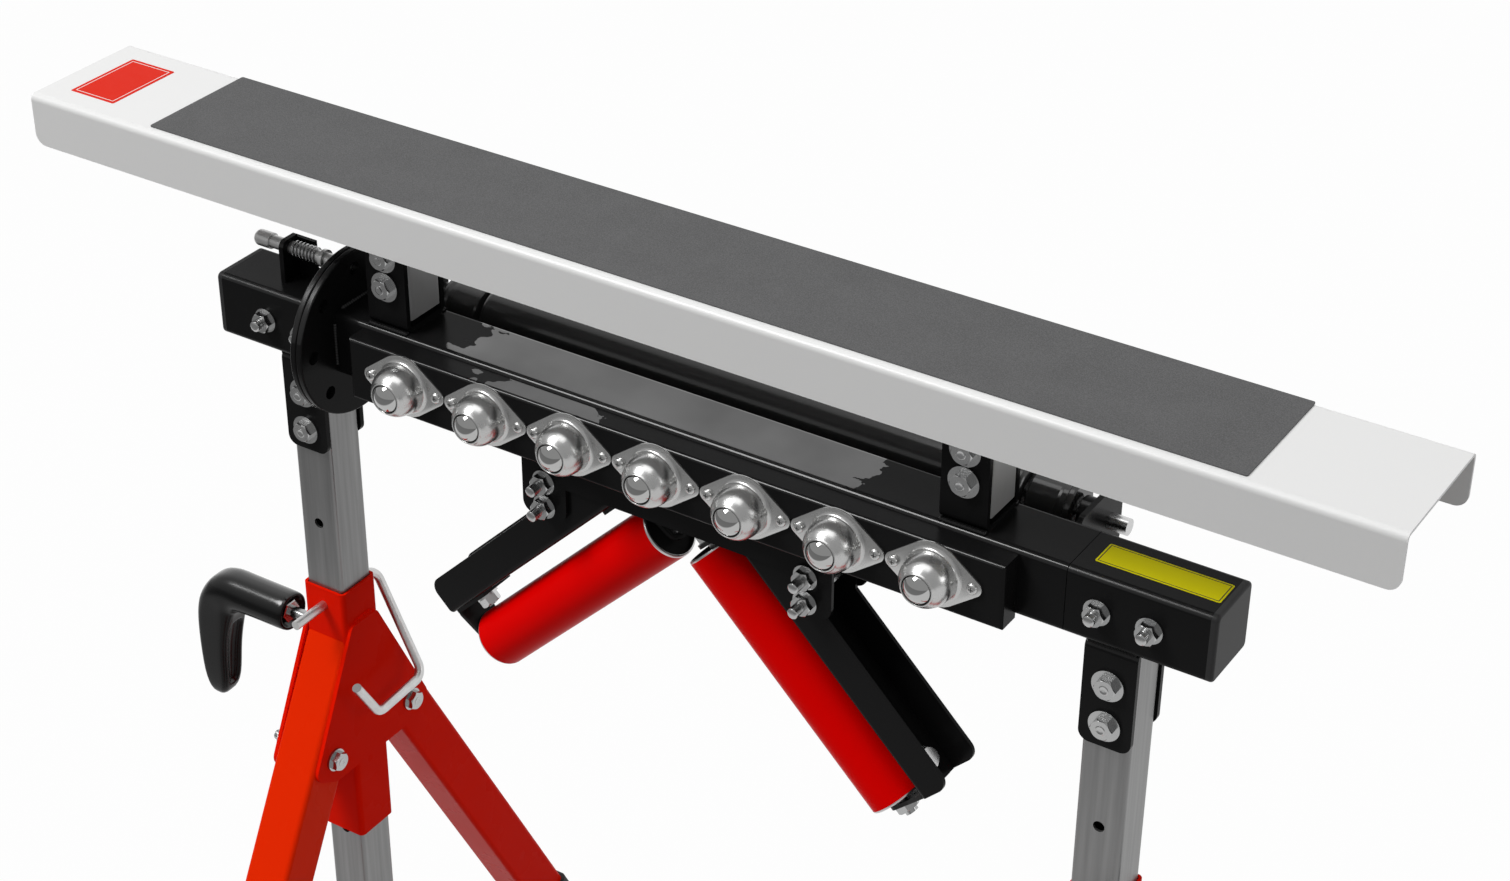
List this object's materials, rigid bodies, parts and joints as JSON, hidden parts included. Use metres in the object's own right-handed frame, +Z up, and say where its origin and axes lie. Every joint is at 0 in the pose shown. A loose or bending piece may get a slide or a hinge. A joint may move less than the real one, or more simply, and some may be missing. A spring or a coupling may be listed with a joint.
{
  "type": "multi-purpose work table",
  "caption": "Height-adjustable folding support stand with a turning head: flat table, ball units, plain roller and tilting V rollers.",
  "frame": {"origin": "on the floor, under the middle of the table", "axes": "+X along the table and the head, towards the right-hand leg set; +Y to the back, away from the ball units; +Z up"},
  "size_m": [1.07, 0.5568, 0.9065],
  "materials": {
    "frame_black": "glossy black powder coat",
    "zinc": "bright zinc plating",
    "galvanised": "satin galvanised tube",
    "bright_steel": "polished steel",
    "machined_steel": "turned steel",
    "nylon": "black nylon",
    "table_white": "satin white powder coat",
    "mat_grey": "fine-grained anti-slip mat",
    "leg_red": "glossy red-orange powder coat",
    "roller_red": "smooth red sleeve",
    "roller_black": "smooth black sleeve",
    "handle_black": "moulded black plastic",
    "foot_rubber": "black rubber"
  },
  "bodies": {
    "frame": {"left_housing": "frame_black", "right_housing": "frame_black", "housing_end_caps": "frame_black", "pivot_stubs": "machined_steel", "leg_saddles": "frame_black", "leg_tube_left": "galvanised", "leg_tube_right": "galvanised", "frame_fasteners": "zinc", "fixed_disc": "frame_black", "plunger_bracket": "frame_black", "plunger_spring": "zinc"},
    "plunger": {"index_plunger": "bright_steel"},
    "head": {"index_disc": "frame_black", "head_beam": "frame_black", "pivot_bushes": "nylon", "ball_rail": "frame_black", "ball_housings": "zinc", "ball_screws": "zinc", "table_sockets": "frame_black", "table_posts": "galvanised", "table_top": "table_white", "table_mat": "mat_grey", "hanger_bracket": "frame_black", "head_fasteners": "zinc", "rear_roller_brackets": "frame_black", "rear_roller_axle": "zinc"},
    "rear_roller": {"rear_roller": "roller_black"},
    "ball_1": {"ball_1": "bright_steel"},
    "ball_2": {"ball_2": "bright_steel"},
    "ball_3": {"ball_3": "bright_steel"},
    "ball_4": {"ball_4": "bright_steel"},
    "ball_5": {"ball_5": "bright_steel"},
    "ball_6": {"ball_6": "bright_steel"},
    "ball_7": {"ball_7": "bright_steel"},
    "v_arm_left": {"v_arm_left": "frame_black", "v_roller_bracket_left": "zinc", "v_axle_left": "zinc"},
    "v_roller_left": {"v_roller_left": "roller_red"},
    "v_arm_right": {"v_arm_right": "frame_black", "v_roller_bracket_right": "zinc", "v_axle_right": "zinc"},
    "v_roller_right": {"v_roller_right": "roller_red"},
    "sleeve_left": {"sleeve_left": "leg_red", "sleeve_fasteners_left": "zinc"},
    "clamp_left": {"clamp_screw_left": "zinc", "clamp_handle_left": "handle_black"},
    "pin_left": {"locking_pin_left": "zinc"},
    "leg_front_left": {"leg_front_left": "leg_red", "foot_front_left": "foot_rubber"},
    "leg_back_left": {"leg_back_left": "leg_red", "foot_back_left": "foot_rubber"},
    "sleeve_right": {"sleeve_right": "leg_red", "sleeve_fasteners_right": "zinc"},
    "clamp_right": {"clamp_screw_right": "zinc", "clamp_handle_right": "handle_black"},
    "pin_right": {"locking_pin_right": "zinc"},
    "leg_front_right": {"leg_front_right": "leg_red", "foot_front_right": "foot_rubber"},
    "leg_back_right": {"leg_back_right": "leg_red", "foot_back_right": "foot_rubber"}
  },
  "joints": [
    {"name": "head_turn", "type": "hinge", "parent": "frame", "child": "head", "pos_m": [0.012, 0, 0.76], "axis": [1, 0, 0], "range_deg": [-135, 135]},
    {"name": "plunger_push", "type": "slide", "parent": "frame", "child": "plunger", "axis": [1, 0, 0], "range_m": [0, 0.0107]},
    {"name": "rear_roller_spin", "type": "hinge", "parent": "head", "child": "rear_roller", "pos_m": [0.012, 0.072, 0.76], "axis": [1, 0, 0], "continuous": true},
    {"name": "ball_1_roll", "type": "hinge", "parent": "head", "child": "ball_1", "pos_m": [-0.204, -0.0598, 0.7594], "axis": [1, 0, 0], "continuous": true},
    {"name": "ball_2_roll", "type": "hinge", "parent": "head", "child": "ball_2", "pos_m": [-0.132, -0.0598, 0.7594], "axis": [1, 0, 0], "continuous": true},
    {"name": "ball_3_roll", "type": "hinge", "parent": "head", "child": "ball_3", "pos_m": [-0.06, -0.0598, 0.7594], "axis": [1, 0, 0], "continuous": true},
    {"name": "ball_4_roll", "type": "hinge", "parent": "head", "child": "ball_4", "pos_m": [0.012, -0.0598, 0.7594], "axis": [1, 0, 0], "continuous": true},
    {"name": "ball_5_roll", "type": "hinge", "parent": "head", "child": "ball_5", "pos_m": [0.084, -0.0598, 0.7594], "axis": [1, 0, 0], "continuous": true},
    {"name": "ball_6_roll", "type": "hinge", "parent": "head", "child": "ball_6", "pos_m": [0.156, -0.0598, 0.7594], "axis": [1, 0, 0], "continuous": true},
    {"name": "ball_7_roll", "type": "hinge", "parent": "head", "child": "ball_7", "pos_m": [0.228, -0.0598, 0.7594], "axis": [1, 0, 0], "continuous": true},
    {"name": "v_arm_left_tilt", "type": "hinge", "parent": "head", "child": "v_arm_left", "pos_m": [-0.097, 0, 0.706], "axis": [0, 1, 0], "range_deg": [0, 30]},
    {"name": "v_roller_left_spin", "type": "hinge", "parent": "v_arm_left", "child": "v_roller_left", "pos_m": [-0.08431, 0, 0.60782], "axis": [-0.7071, 0, -0.7071], "continuous": true},
    {"name": "v_arm_right_tilt", "type": "hinge", "parent": "head", "child": "v_arm_right", "pos_m": [0.121, 0, 0.706], "axis": [0, -1, 0], "range_deg": [0, 30]},
    {"name": "v_roller_right_spin", "type": "hinge", "parent": "v_arm_right", "child": "v_roller_right", "pos_m": [0.10831, 0, 0.60782], "axis": [0.7071, 0, -0.7071], "continuous": true},
    {"name": "sleeve_left_slide", "type": "slide", "parent": "frame", "child": "sleeve_left", "axis": [0, 0, 1], "range_m": [-0.375, 0.075]},
    {"name": "clamp_left_turn", "type": "hinge", "parent": "sleeve_left", "child": "clamp_left", "pos_m": [-0.402, 0, 0.4715], "axis": [-1, 0, 0], "range_deg": [0, 180]},
    {"name": "pin_left_pull", "type": "slide", "parent": "sleeve_left", "child": "pin_left", "axis": [0, 1, 0], "range_m": [0, 0.075]},
    {"name": "leg_front_left_fold", "type": "hinge", "parent": "sleeve_left", "child": "leg_front_left", "pos_m": [-0.322, -0.048, 0.386], "axis": [1, 0, 0], "range_deg": [0, 28]},
    {"name": "leg_back_left_fold", "type": "hinge", "parent": "sleeve_left", "child": "leg_back_left", "pos_m": [-0.322, 0.048, 0.386], "axis": [-1, 0, 0], "range_deg": [0, 28]},
    {"name": "sleeve_right_slide", "type": "slide", "parent": "frame", "child": "sleeve_right", "axis": [0, 0, 1], "range_m": [-0.375, 0.075]},
    {"name": "clamp_right_turn", "type": "hinge", "parent": "sleeve_right", "child": "clamp_right", "pos_m": [0.426, 0, 0.4715], "axis": [1, 0, 0], "range_deg": [0, 180]},
    {"name": "pin_right_pull", "type": "slide", "parent": "sleeve_right", "child": "pin_right", "axis": [0, 1, 0], "range_m": [0, 0.075]},
    {"name": "leg_front_right_fold", "type": "hinge", "parent": "sleeve_right", "child": "leg_front_right", "pos_m": [0.346, -0.048, 0.386], "axis": [1, 0, 0], "range_deg": [0, 28]},
    {"name": "leg_back_right_fold", "type": "hinge", "parent": "sleeve_right", "child": "leg_back_right", "pos_m": [0.346, 0.048, 0.386], "axis": [-1, 0, 0], "range_deg": [0, 28]}
  ]
}
